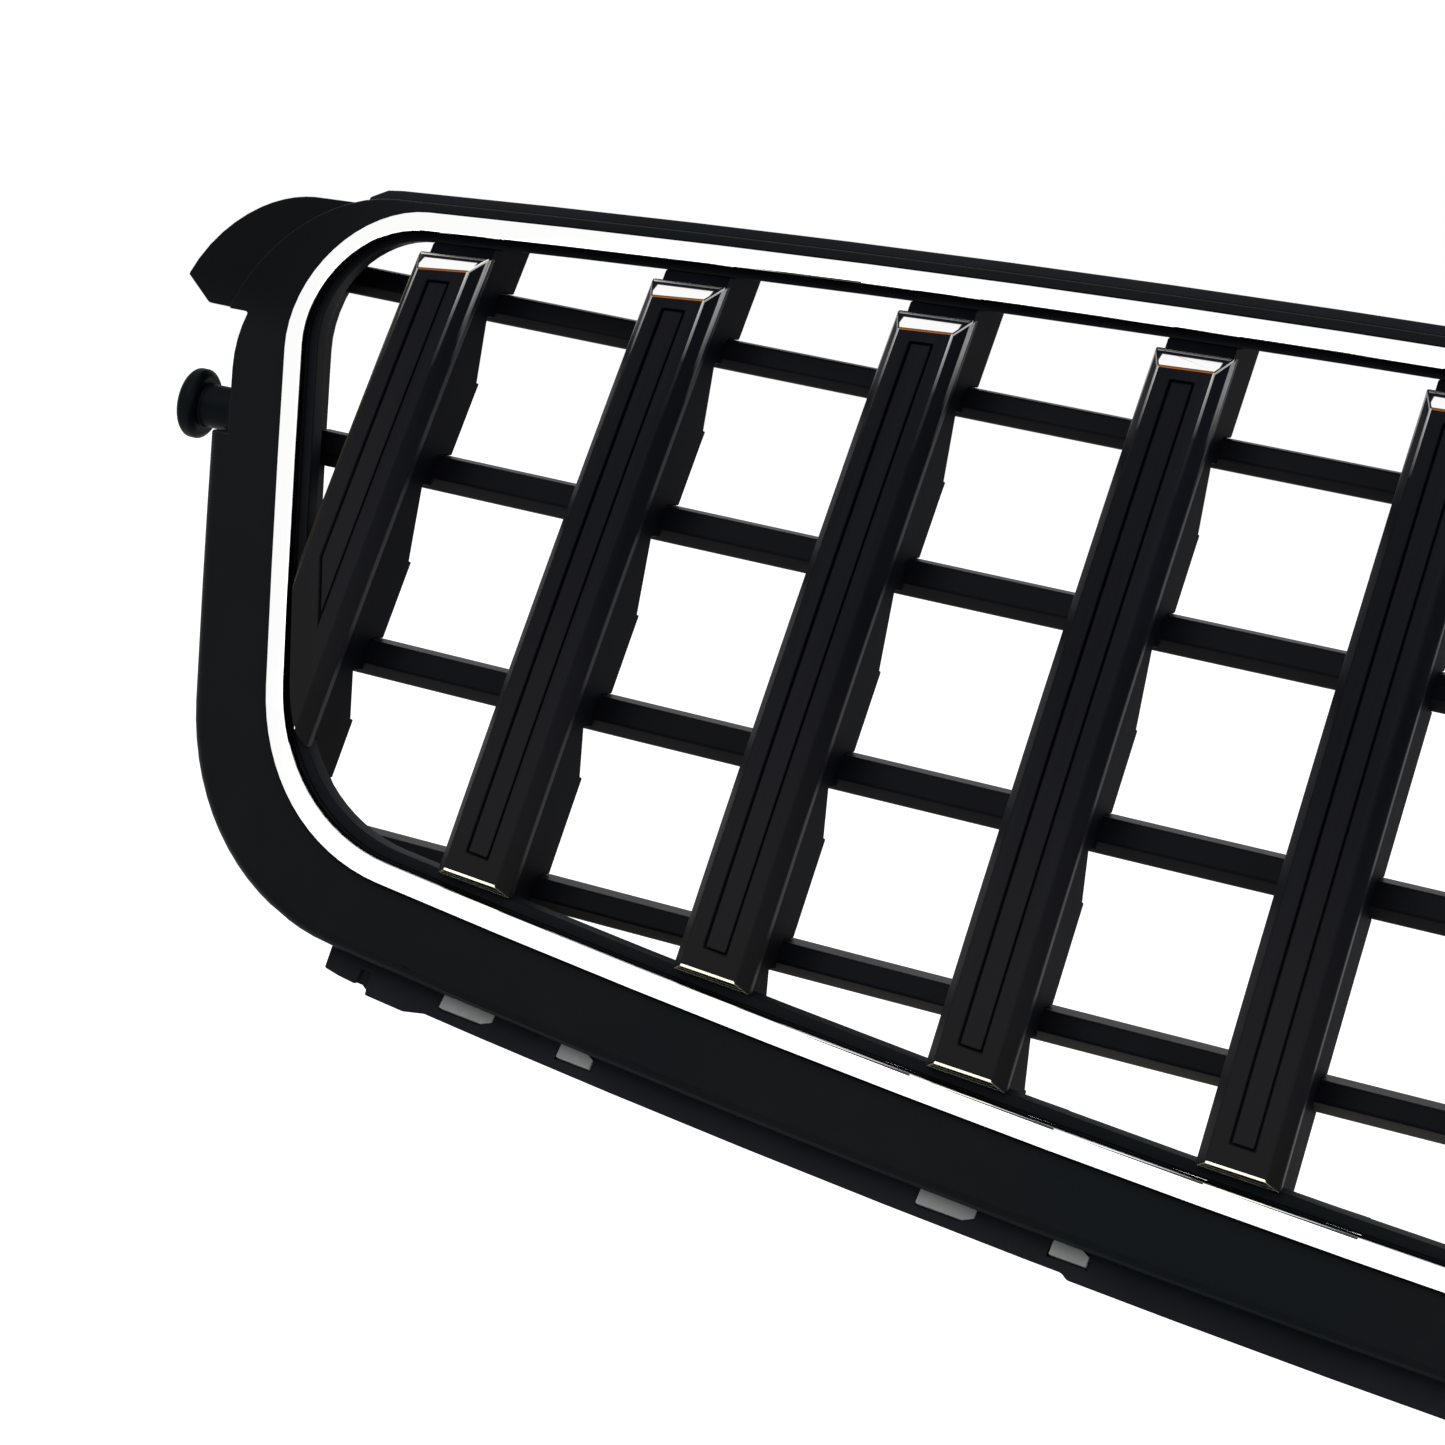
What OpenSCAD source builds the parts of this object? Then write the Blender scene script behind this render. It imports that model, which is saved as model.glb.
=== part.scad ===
// Front grille of a car: an outer surround with ears, a bright trim ring, an inner frame,
// four cross rungs and a row of upright bars, with its upper rail, lower rail, clips and pegs.
// Millimetres. X runs across the car, the grille faces -Y, Z is up.
// The origin is the middle of the inner pair of upper fixing holes.

/* [Face] */
// Radius of the face seen from above
plan_r = 2900; // [2400:50:4000]
// Radius of the face seen from the side
profile_r = 1800; // [1500:50:3000]
// Lean of the face back from upright, at mid height
lean = 25.3; // [18:0.1:28]

/* [Opening] */
// Gap from the outer bar's centre to the side of the opening, at mid height
side_gap = 10.3; // [8:0.1:16]
// Lean of the opening's sides
side_lean = 21.2; // [10:0.1:24]
// Height of the opening's top edge above the middle of the face
open_rise = 77.5; // [70:0.1:90]
// Depth of the opening's lowest point below the middle of the face
open_drop = 74.3; // [68:0.1:90]
// Radius of the opening's top edge
top_r = 4300; // [3500:50:6000]
// Slope of each half of the opening's lower edge, at the middle
keel = 3.2; // [2:0.1:5]
// Radius of the bow in each half of the lower edge
bow_r = 4850; // [3500:50:7000]
// Radius that blends the two halves of the lower edge
keel_r = 400; // [300:10:450]
// Radius of the opening's upper corners
upper_corner_r = 19.5; // [16:0.5:24]
// Radius of the opening's lower corners
lower_corner_r = 42.5; // [30:0.5:46]

/* [Surround] */
// Wall of the surround's skin
skin_t = 3; // [2:0.1:4]
// Wall of the surround's returns
return_t = 2.8; // [2.4:0.1:3]
// How far the outer return goes back at the sides and along the bottom
return_depth = 22; // [18:0.5:26]
// How far the inner return goes back, and the outer one along the top
inner_return_depth = 4; // [3.5:0.1:5]
// Width of the surround at the sides
side_band = 20.7; // [18:0.1:26]
// Width of the surround along the bottom
lower_band = 18; // [16:0.5:24]
// Width of the surround along the top
upper_band = 5.9; // [5.2:0.1:6.2]
// Outer radius of the surround's lower corners
surround_lower_r = 58; // [45:1:75]
// Outer radius of the surround's upper corners
surround_upper_r = 30; // [24:1:36]
// Radius of each ear
ear_r = 24.1; // [20:0.1:28]
// Depth of the rim round each ear
ear_rim = 12; // [8:0.5:16]
// Height of each ear's lower edge above the middle of the face
ear_foot = 43; // [40:0.5:50]
// Size of the cut across each ear's lower corner
ear_cut = 4.2; // [1:0.1:5]
// How far each ear is set back
ear_set = 3; // [1:0.5:6]

/* [Trim ring] */
// Width of the bright ring
ring_w = 4; // [3.5:0.1:5]
// How far the ring stands proud
ring_proud = 1.4; // [0.5:0.1:2.5]
// Depth of the ring's seat in the surround
ring_seat = 1; // [0.5:0.1:1.5]

/* [Inner frame] */
// Wall of the inner frame
frame_t = 2; // [1.5:0.1:2.5]
// How far the frame's lip is set back from the face
lip_set = 1.5; // [0.5:0.1:2.5]
// Depth at which the frame's lip ends, behind its foot
foot_depth = 5.6; // [5.2:0.1:7]
// Depth of the back of the frame
frame_depth = 18.5; // [18:0.5:22]

/* [Bars] */
// Number of upright bars, odd so that one stands in the middle
bar_count = 13; // [11:2:15]
// Distance from bar to bar
bar_pitch = 52; // [46:0.5:56]
// How far the bar caps stand proud of the face
cap_proud = 3; // [1:0.1:3]
// Gap between the caps' tops and the frame's lip
cap_gap = 2; // [0.5:0.1:4]
// Width of a bar cap at its base
cap_w = 15.5; // [13:0.1:17]
// Width of a bar cap's front
cap_front_w = 11; // [9:0.1:12]
// Depth of the bevel round a bar cap
cap_bevel = 3; // [2:0.1:3.5]
// Height of the bevel at a cap's top
top_bevel = 3.2; // [2:0.1:5]
// Height of the bevel at a cap's foot
foot_bevel = 1.6; // [1:0.1:3]
// Depth of a bar cap from front to back
cap_t = 5; // [4.2:0.1:6]
// Width of a bar's fin
fin_w = 13.4; // [12:0.1:14]
// Wall of a fin's flanks
fin_wall = 1.8; // [1.4:0.1:2.4]
// Depth of the back of the fins
fin_depth = 18; // [16:0.5:20]
// Depth of the notch in a fin's back edge, right under a rung
notch_depth = 8; // [2:0.1:9]
// Depth of the notch's step at its lower end
notch_step = 1.3; // [0.4:0.1:2]
// Drop of that step below its rung
notch_drop = 12.5; // [10:0.5:16]
// Width of the strip let into a cap
strip_w = 4; // [3:0.1:5]
// Groove left round the strip
strip_gap = 0.4; // [0.4:0.05:1]
// Depth of the strip's recess
strip_seat = 1.4; // [1:0.1:2]
// How far the strip lies below the cap's front
strip_sink = 0.25; // [0:0.05:0.6]
// Distance from a cap's end to its strip
strip_end = 5.9; // [5:0.1:12]

/* [Rungs] */
// Number of rungs
rung_count = 4; // [3:1:4]
// Distance from rung to rung
rung_step = 33.9; // [32:0.1:36]
// Distance between the two middle rungs
rung_gap = 36.9; // [34:0.1:38]
// Height of the row's middle above the middle of the face
rung_mid = 0.4; // [-3:0.1:3]
// Height of the middle rungs
rung_h = 7; // [5:0.1:8]
// Height of the top and bottom rungs
outer_rung_h = 5.9; // [5:0.1:8]
// Depth of a rung from front to back
rung_d = 9; // [7:0.1:10]
// Distance of a rung's nose behind the face, along Y
rung_set = 14; // [13.6:0.1:15]
// Play of a rung in a fin's slot
slot_play = 0.1; // [0.05:0.05:0.3]

/* [Upper rail] */
// Wall of the upper rail
upper_rail_t = 1.9; // [1.2:0.1:2.5]
// Half the length of the upper rail
upper_rail_half = 338; // [300:1:338]
// Depth of the back of the upper rail's shelf
shelf_depth = 26; // [20:1:34]
// Place of the inner pair of fixing tabs
tab_x_inner = 100; // [80:1:130]
// Place of the outer pair of fixing tabs
tab_x_outer = 240; // [200:1:270]
// Width of a fixing tab
tab_w = 24; // [20:1:30]
// Distance of the fixing holes behind the face, along Y
tab_set = 42; // [38:1:50]
// Radius of the fixing holes
fixing_r = 3.3; // [2.6:0.1:4]

/* [Lower rail] */
// How far the lower rail hangs below the surround
lower_rail_drop = 5.6; // [4:0.1:8]
// How much further it hangs in the middle
lower_rail_step = 0.8; // [0.5:0.1:3]
// Half the length of the lower rail
lower_rail_half = 287; // [260:1:290]
// Half the length of its middle step
lower_step_half = 131; // [90:1:133]
// Wall of the lower rail's leg
lower_rail_t = 2; // [1.5:0.1:2.5]
// Depth of the ledge's front
ledge_depth = 6; // [4:0.5:8]
// Thickness of the ledge
ledge_t = 2.5; // [2:0.1:3]
// How far the lower rail's leg goes back
leg_depth = 20; // [14:0.5:22]
// Place of the outer pair of clips
clip_x_outer = 243; // [220:1:250]
// Place of the inner pair of clips
clip_x_inner = 142; // [138:1:170]
// Distance between the two clips of a pair
clip_spread = 24; // [20:1:30]
// Width of a pair's outer clip
clip_w_outer = 11; // [8:0.5:13]
// Width of a pair's inner clip
clip_w_inner = 7; // [5:0.5:9]
// Thickness of a clip's sheet
clip_t = 0.8; // [0.5:0.1:1]
// Height of a clip's front leg
clip_leg = 2.6; // [2.6:0.1:3.4]

/* [Pegs and screws] */
// Height of the side pegs above the middle of the face
peg_z = 22.6; // [21:0.1:32]
// Distance of the side pegs behind the face, along Y
peg_set = 12; // [10:0.5:14]
// Radius of a peg's head
peg_head_r = 7.2; // [6:0.1:9]
// Length of a peg's head
peg_head_l = 4; // [3:0.1:6]
// Radius of a peg's neck
peg_neck_r = 4.5; // [3.5:0.1:5]
// Length of a peg's neck
peg_neck_l = 7.4; // [4:0.1:9]
// Radius of a peg's shank in the surround
peg_shank_r = 4; // [3:0.1:4.4]
// Radius of the screw bosses
boss_r = 3.6; // [3:0.1:4]
// Radius of a screw's thread
screw_r = 1.5; // [1.2:0.1:1.8]
// Radius of a screw's head
screw_head_r = 3.4; // [2.8:0.1:4]
// Height of a screw's head
screw_head_l = 2; // [1.4:0.1:3]

/* [Hidden] */
fine = 1440;             // facets of the large face arcs
sweep = 18;              // arc of the face that is built, in degrees
bar_sweep = 9;           // arc of a bar that is built, in degrees
reach = 140;             // half height of the band that a layer is cut from
top_steps = 10;          // straight lengths in half of an outline's top
corner_steps = 16;       // and in each of its corners
bow_steps = 9;           // and in each half of its lower edge
keel_steps = 2;          // and in half of the curve at its lowest point
over = 1;                // how far a cutting body runs past what it cuts
touch = 0.05;            // clearance of a shank in its hole
far = 900;               // beyond every edge of the grille
half_bars = (bar_count - 1) / 2;
open_half = half_bars * bar_pitch + side_gap;
seat_play = 0.1;         // play of the ring in its seat
notch_bars = 4;          // bars at each end whose fins are notched
notch_more = [0, 2, -3.5, -3.5];   // added to a notch's drop, from the top rung down
tab_t = 2.5;             // thickness of a fixing tab
tab_margin = 8;          // metal behind a fixing hole
tab_root = 18;           // where a tab starts behind the face, along Y

// Outward normal of the opening's left side, and its distance from the middle
side_n = [-cos(side_lean), -sin(side_lean)];
side_h = open_half * cos(side_lean);
// Centres of the top's arc and of the lower left edge's arc
top_centre = [0, open_rise - top_r];
bow_centre = bow_r * [sin(keel), cos(keel)] - [0, open_drop];

function bar_x(i) = (i - 1 - half_bars) * bar_pitch;
function rung_z(j) =
    let (from_mid = (rung_count + 1) / 2 - j)
    rung_mid + from_mid * rung_step + sign(from_mid) * (rung_gap - rung_step) / 2;
function rung_high(j) = j > 1 && j < rung_count ? rung_h : outer_rung_h;
function plan_y(x) = plan_r - sqrt(plan_r * plan_r - x * x);
function profile_y(z) = profile_r * cos(lean) - sqrt(pow(profile_r, 2) - pow(z + profile_r * sin(lean), 2));
function profile_angle(z) = asin((z + profile_r * sin(lean)) / profile_r);
function face_y(x, z) = plan_y(x) + profile_y(z);

// An outline of the opening, grown by [side, bottom, top] with its [upper, lower] corner radii
function grow(d) = [d, d, d, upper_corner_r + d, lower_corner_r + d];
surround_out = [side_band, lower_band, upper_band, surround_upper_r, surround_lower_r];
function inset(o, t) = [o[0] - t, o[1] - t, o[2] - t, o[3] - t, o[4] - t];

// Height of an outline's top and bottom edges at x
function top_z(o, x) = top_centre[1] + sqrt(pow(top_r + o[2], 2) - x * x);
function keel_z(o) = bow_centre[1] - sqrt(pow(bow_r + o[1] - keel_r, 2) - pow(bow_centre[0], 2));
function keel_a(o) = asin(bow_centre[0] / (bow_r + o[1] - keel_r));
function bottom_z(o, x) = abs(x) < keel_r * sin(keel_a(o))
    ? keel_z(o) - sqrt(keel_r * keel_r - x * x)
    : bow_centre[1] - sqrt(pow(bow_r + o[1], 2) - pow(abs(x) + bow_centre[0], 2));
// Slope of the lower edge at x
function bow_a(x) = asin((abs(x) + bow_centre[0]) / bow_r);
// x of an outline's left side at height z
function side_x(o, z) = -(side_h + o[0]) / cos(side_lean) - z * tan(side_lean);

// Centre of a left fillet: r from centre c, and r_in in from the outline's side; up is 1 or -1
function fillet_centre(o, c, r, r_in, up) =
    let (q = side_n * (side_h + o[0] - r_in) - c)
    let (u = up * [-sin(side_lean), cos(side_lean)], b = q * u)
    q + u * (-b + sqrt(b * b - q * q + r * r)) + c;

module both_sides() {
    children();
    mirror([1, 0, 0]) children();
}

// Points of an arc, from one angle to another
function arc(c, r, from_a, to_a, steps) =
    [for (k = [0:steps]) let (a = from_a + (to_a - from_a) * k / steps) c + r * [cos(a), sin(a)]];

// The left half of an outline, from its top down to its lowest point
function half_points(o) =
    let (c1 = fillet_centre(o, top_centre, top_r + o[2] - o[3], o[3], 1))
    let (c2 = fillet_centre(o, bow_centre, bow_r + o[1] - o[4], o[4], -1))
    let (d1 = c1 - top_centre, top_a = atan2(d1[1], d1[0]), side_a = 180 + side_lean)
    let (d2 = c2 - bow_centre, low_a = 360 + atan2(d2[1], d2[0]))
    concat(
        arc(top_centre, top_r + o[2], 90, top_a, top_steps),
        arc(c1, o[3], top_a, side_a, corner_steps),
        arc(c2, o[4], side_a, low_a, corner_steps),
        arc(bow_centre, bow_r + o[1], low_a, 270 - keel_a(o), bow_steps),
        arc([0, keel_z(o)], keel_r, 270 - keel_a(o), 270, keel_steps));

module outline(o) {
    left = half_points(o);
    last = len(left) - 1;
    // the two halves share their first and last points, and each arc starts where the last one ends
    points = concat(left, [for (k = [last - 1:-1:1]) [-left[k][0], left[k][1]]]);
    polygon([for (k = [0:len(points) - 1])
        if (norm(points[k] - points[(k + 1) % len(points)]) > touch / 10) points[k]]);
}

module band(inner, outer) {
    difference() {
        outline(outer);
        outline(inner);
    }
}

// A flat shape in X and Z, run right through along Y
module through() {
    rotate([90, 0, 0]) linear_extrude(height = far, center = true) children();
}

// A layer that follows the curved face, from a depth behind it (negative is proud of it)
module layer(depth, thick) {
    translate([0, plan_r, 0]) rotate([0, 0, -90 - sweep / 2])
        rotate_extrude(angle = sweep, $fn = fine) intersection() {
            translate([plan_r - profile_r * cos(lean), -profile_r * sin(lean)]) difference() {
                circle(profile_r - depth, $fn = fine * 2);
                circle(profile_r - depth - thick, $fn = fine * 2);
            }
            translate([plan_r - reach, -reach]) square([2 * reach, 2 * reach]);
        }
}

// A section swept along a bar: x is the distance behind the face, y is across the bar
module along_bar(x) {
    translate([x, plan_y(x) + profile_r * cos(lean), -profile_r * sin(lean)])
        rotate([0, 90, 0]) rotate([0, 0, 270 - lean - bar_sweep / 2])
            rotate_extrude(angle = bar_sweep, $fn = fine) translate([profile_r, 0]) mirror([1, 0]) children();
}

// The lower half of a flat shape
module lower_half() {
    intersection() {
        translate([-far, -far]) square([2 * far, far]);
        children();
    }
}

// The upper half of a flat shape, out to x = half on each side
module upper_half(half) {
    intersection() {
        translate([-half, 0]) square([2 * half, far]);
        children();
    }
}

// The fixing tabs lie flush with the top of the upper rail's leg
function tab_height(x) = top_z(grow(upper_band + upper_rail_t), x) - tab_t;
tab_z = tab_height(tab_x_inner);
tab_y = face_y(tab_x_inner, tab_z) + tab_set;

module shift() {
    translate([0, -tab_y, -tab_z]) children();
}

// ---------- surround ----------

ear_c = [side_x(surround_out, ear_foot) + ear_r * 0.52, ear_foot + 1];
ear_cut_turn = 57;       // how far the cut's edge leans from upright

module ear_outline(g) {
    intersection() {
        union() {
            translate(ear_c) circle(ear_r - g, $fn = 180);
            translate(ear_c) square([ear_r, ear_r - g]);
        }
        translate([-far, ear_foot + g]) square([far, far]);
        translate([ear_c[0] - ear_r, ear_foot]) rotate(ear_cut_turn)
            translate([ear_cut + g, -far / 2]) square([far, far]);
    }
}

// The side steps in between each ear and the lower edge of its peg; grown by g for the inside wall
notch_in = 4.6;
notch_below = 3.6;
module side_notch(g) {
    difference() {
        translate([-far, peg_z - notch_below - g]) square([far, ear_foot - peg_z + notch_below + 2 * g]);
        outline(inset(surround_out, notch_in + g));
    }
}

module surround_shape(g) {
    difference() {
        outline(inset(surround_out, g));
        both_sides() side_notch(g);
    }
}

// The peg's boss has a flat end, just outside the notch's wall
peg_y = face_y(side_x(surround_out, peg_z), peg_z) + peg_set;
peg_x = side_x(inset(surround_out, notch_in), peg_z + peg_head_r) - over;
boss_in = 10;

module peg_body(r, from_x, to_x) {
    translate([peg_x + from_x, peg_y, peg_z]) rotate([0, 90, 0]) cylinder(r = r, h = to_x - from_x, $fn = 90);
}

// Screw places with their outward normals: along the bottom by x, up each side by z
screw_inset = 9.5;
bottom_screws = [60, 180];
side_screws = [-20, 8];
screw_places = concat(
    [for (x = bottom_screws) [[-x, bottom_z(grow(screw_inset), x)], [-sin(bow_a(x)), -cos(bow_a(x))]]],
    [for (z = side_screws) [[side_x(grow(screw_inset), z), z], side_n]]);
boss_back = 15;          // the bosses' back ends behind the face, along Y
pilot_l = 9;             // depth of a boss's pilot hole
screw_tab_t = 2.5;
screw_play = 0.2;

// A place on the back end of a screw's boss, with z along the way in to the opening
module at_screw(s) {
    p = s[0];
    translate([p[0], face_y(p[0], p[1]) + boss_back, p[1]])
        rotate([0, atan2(-s[1][0], -s[1][1]), 0]) children();
}

// A round body along Y, between two distances from the boss's back end
module along_screw(s, r, from_y, to_y) {
    at_screw(s) translate([0, to_y, 0]) rotate([90, 0, 0]) cylinder(r = r, h = to_y - from_y, $fn = 60);
}

// The wall round the surround's outside; it is deep only up to the height deep_top
deep_top = 50;
module outer_return() {
    difference() {
        surround_shape(0);
        surround_shape(return_t);
    }
}

module outer_surround() {
    color("#16181b") shift() difference() {
        union() {
            intersection() {
                layer(0, skin_t);
                through() difference() {
                    surround_shape(0);
                    outline(grow(0));
                }
            }
            intersection() {
                layer(skin_t / 2, return_depth - skin_t / 2);
                through() intersection() {
                    outer_return();
                    translate([-far, deep_top - far]) square([2 * far, far]);
                }
            }
            intersection() {
                layer(skin_t / 2, inner_return_depth - skin_t / 2);
                through() {
                    outer_return();
                    band(grow(0), grow(return_t));
                }
            }
            both_sides() {
                intersection() {
                    layer(ear_set, skin_t);
                    through() difference() {
                        ear_outline(0);
                        outline(inset(surround_out, return_t / 2));
                    }
                }
                intersection() {
                    layer(ear_set, ear_rim);
                    through() difference() {
                        ear_outline(0);
                        ear_outline(return_t);
                        outline(inset(surround_out, return_t / 2));
                    }
                }
                peg_body(peg_head_r - over, 0, boss_in);
                for (s = screw_places) intersection() {
                    along_screw(s, boss_r, -boss_back, 0);
                    layer(skin_t / 2, 2 * boss_back);
                }
            }
        }
        intersection() {
            layer(-over, over + ring_seat);
            through() band(grow(-over), grow(ring_w));
        }
        both_sides() {
            peg_body(peg_shank_r + touch, -over, boss_in + over);
            for (s = screw_places) along_screw(s, screw_r, -pilot_l, over);
        }
    }
}

module trim_ring() {
    color("#f2f2f0") shift() intersection() {
        layer(-ring_proud, ring_proud + ring_seat);
        through() band(grow(0), grow(ring_w - seat_play));
    }
}

// ---------- inner frame ----------

// A tab that stands out from the frame's outer wall and takes a screw
module screw_tab(s) {
    w = 2 * (screw_head_r + over);
    along_screw(s, w / 2, 0, screw_tab_t);
    at_screw(s) translate([-w / 2, 0, 0]) cube([w, screw_tab_t, screw_inset - upper_band + frame_t / 2]);
}

module inner_frame() {
    color("#121315") shift() difference() {
        union() {
            difference() {
                intersection() {
                    layer(lip_set, frame_depth - lip_set);
                    through() band(grow(-frame_t), grow(upper_band));
                }
                intersection() {
                    layer(-over, over + inner_return_depth);
                    through() band(grow(0), grow(upper_band + over));
                }
                intersection() {
                    layer(foot_depth, frame_depth);
                    through() band(grow(-frame_t - over), grow(upper_band - frame_t));
                }
            }
            both_sides() for (s = screw_places) screw_tab(s);
        }
        both_sides() for (s = screw_places)
            along_screw(s, screw_r + screw_play, -over, screw_tab_t + over);
    }
}

module frame_screws() {
    color("#8d9094") shift() both_sides() for (s = screw_places) {
        along_screw(s, screw_r - touch, over - pilot_l, screw_tab_t + over);
        along_screw(s, screw_head_r, screw_tab_t, screw_tab_t + screw_head_l);
    }
}

// ---------- rungs ----------

// The rung's front is two slopes that meet at a nose below its middle
module rung_section(high, g, back) {
    h = high / 2 + g;
    slope = high / 3;
    polygon([[-g, -high / 10], [slope - g, h], [back, h], [back, -h], [slope - g, -h]]);
}

module rung_body(j, g, back) {
    z = rung_z(j);
    translate([0, plan_r, z]) rotate([0, 0, -90 - sweep / 2]) rotate_extrude(angle = sweep, $fn = fine)
        translate([plan_r - profile_y(z) - rung_set, 0]) mirror([1, 0]) rung_section(rung_high(j), g, back);
}

module rung(j) {
    color("#1b1d20") shift() intersection() {
        rung_body(j, 0, rung_d);
        through() outline(grow(upper_band - frame_t));
    }
}

// ---------- bars ----------

// The room that the caps stand in: inside the frame's lip, with a gap along the top
cap_room = [-frame_t, -frame_t, -frame_t - cap_gap, upper_corner_r - frame_t, lower_corner_r - frame_t];
cap_back = cap_t - cap_proud;

module inside(o) {
    intersection() {
        children();
        through() outline(o);
    }
}

// A wedge off the fin's back edge, deepest at a rung's underside and ending in a small step below it
module fin_notch(i, j) {
    high = rung_z(j) - rung_high(j) / 2;
    low = high - notch_drop - notch_more[j - 1];
    back = fin_depth / cos(profile_angle(high));
    x = bar_x(i);
    translate([x - fin_w, 0, 0]) rotate([90, 0, 90]) linear_extrude(height = 2 * fin_w) polygon([
        [face_y(x, high) + back + over, high + over],
        [face_y(x, high) + back - notch_depth, high + over],
        [face_y(x, low) + back - notch_step, low],
        [face_y(x, low) + back + notch_drop, low]]);
}

// A bar's carrier: its front stops inside the frame's lip and its walls run on behind it
module bar_fin(i) {
    k = left_of(i);
    x = bar_x(k);
    h = fin_w / 2;
    g = h - fin_wall;
    color("#0e0f11") shift() on_side(i) difference() {
        inside(grow(upper_band - frame_t - slot_play)) along_bar(x) polygon([
            [cap_back, -h], [cap_back, h], [fin_depth, h], [fin_depth, g],
            [cap_back + fin_wall, g], [cap_back + fin_wall, -g], [fin_depth, -g], [fin_depth, -h]]);
        intersection() {
            layer(-over, over + foot_depth + slot_play);
            through() band(grow(-frame_t), grow(upper_band));
        }
        for (j = [1:rung_count]) rung_body(j, slot_play, 2 * rung_d);
        if (k <= notch_bars) for (j = [1:rung_count]) fin_notch(k, j);
    }
}

// Right of the middle the bars are mirror images of those on the left
function left_of(i) = min(i, bar_count + 1 - i);
module on_side(i) {
    mirror([i > half_bars + 1 ? 1 : 0, 0, 0]) children();
}

// Waste in front of the bevel at a cap's end: up is 1 at the top and -1 at the foot
module end_waste(x, z, up, rise, tilt) {
    a = profile_angle(z);
    run = cap_bevel / cos(a) + up * rise * tan(a);
    turn = up > 0 ? atan2(rise, run) : 180 - atan2(rise, run);
    translate([x, face_y(x, z) + (cap_bevel - cap_proud) / cos(a), z])
        rotate([0, tilt, 0]) rotate([turn, 0, 0])
            translate([-cap_w, -cap_w, 0]) cube([2 * cap_w, 2 * cap_w, cap_w]);
}

module bar_cap(i) {
    x = bar_x(left_of(i));
    w = cap_w / 2;
    f = cap_front_w / 2;
    s = strip_w / 2 + strip_gap;
    foot_tilt = x < 0 ? bow_a(x) : 0;
    color("#0b0c0e") shift() on_side(i) difference() {
        inside(cap_room) along_bar(x) translate([-cap_proud, 0]) polygon([
            [0, -f], [0, f], [cap_bevel, w], [cap_t, w], [cap_t, -w], [cap_bevel, -w]]);
        end_waste(x, top_z(cap_room, x), 1, top_bevel, asin(x / top_r));
        end_waste(x, bottom_z(cap_room, x), -1, foot_bevel, foot_tilt);
        inside(inset(cap_room, strip_end - strip_gap)) along_bar(x)
            translate([-cap_proud - over, -s]) square([over + strip_seat, 2 * s]);
    }
}

module bar_strip(i) {
    s = strip_w / 2;
    x = bar_x(left_of(i));
    color("#202226") shift() on_side(i) inside(inset(cap_room, strip_end)) along_bar(x)
        translate([strip_sink - cap_proud, -s]) square([strip_seat - strip_sink, 2 * s]);
}

// ---------- rails ----------

rail_slant = 30;         // rise of the rail's ends from level

function tab_y_at(x) = face_y(x, tab_height(x)) + tab_set;

module fixing_tab(x) {
    y0 = face_y(x, tab_height(x)) + tab_root;
    translate([x - tab_w / 2, y0, tab_height(x) - tab_t / 2])
        cube([tab_w, tab_y_at(x) + tab_margin - y0, tab_t]);
}

// Everything below the slant that the rail's left end rises along
module below_slant() {
    translate([-upper_rail_half, top_z(upper_edge(0), upper_rail_half)]) rotate(rail_slant)
        translate([-far, -far]) square([2 * far, far]);
}

module upper_rail() {
    color("#101113") shift() difference() {
        union() {
            intersection() {
                layer(skin_t, shelf_depth - skin_t);
                through() intersection() {
                    upper_half(upper_rail_half) band(upper_edge(0), upper_edge(upper_rail_t));
                    below_slant();
                    mirror([1, 0]) below_slant();
                }
            }
            both_sides() for (x = [tab_x_inner, tab_x_outer]) fixing_tab(x);
        }
        both_sides() for (x = [tab_x_inner, tab_x_outer])
            translate([x, tab_y_at(x), tab_height(x) - tab_t])
                cylinder(r = fixing_r, h = 2 * tab_t, $fn = 90);
    }
}

// The surround's outline grown along its top or its bottom, where the rails lie
function upper_edge(g) = [side_band, lower_band, upper_band + g, surround_upper_r, surround_lower_r];
function lower_edge(g) = [side_band, lower_band + g, upper_band, surround_upper_r, surround_lower_r + g];

clip_corner = 2;         // size of the cut across one corner of each clip

// Each clip's place and width, left of the middle, and the cuts across its lower and upper corner
clip_places = [for (x = [clip_x_outer, clip_x_inner], side = [-1, 1])
    [-x + side * clip_spread / 2, side < 0 ? clip_w_outer : clip_w_inner,
     side < 0 ? clip_corner : 0, side < 0 ? 0 : clip_corner]];
clip_top = 0.5;          // gap above a clip's front leg
clip_play = 0.1;         // play of a clip in its slot and on the ledge
end_drop = 1.1;          // how much further the ledge hangs beside its end blocks
end_foot = 14;           // length of that deeper stretch
end_slot = 277;          // place of the groove beside each end block
end_slot_w = 2.2;
end_slot_d = 1.2;
end_ramp = 14;           // turn of the deeper stretch's inner end from the ledge's edge
step_ramp = 30;          // and of the step at the ledge's middle
ramp_lap = 0.2;          // how far inside the ledge's edge these ramps start
clip_back = 0.8;         // height of a clip's back leg below its bend

// Everything above a line through the ledge's lower edge at x, turned from that edge
module above_ledge(x, turn) {
    translate([-x, bottom_z(lower_edge(lower_rail_drop), x) + ramp_lap]) rotate(turn - bow_a(x))
        translate([-far, 0]) square([2 * far, far]);
}

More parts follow.
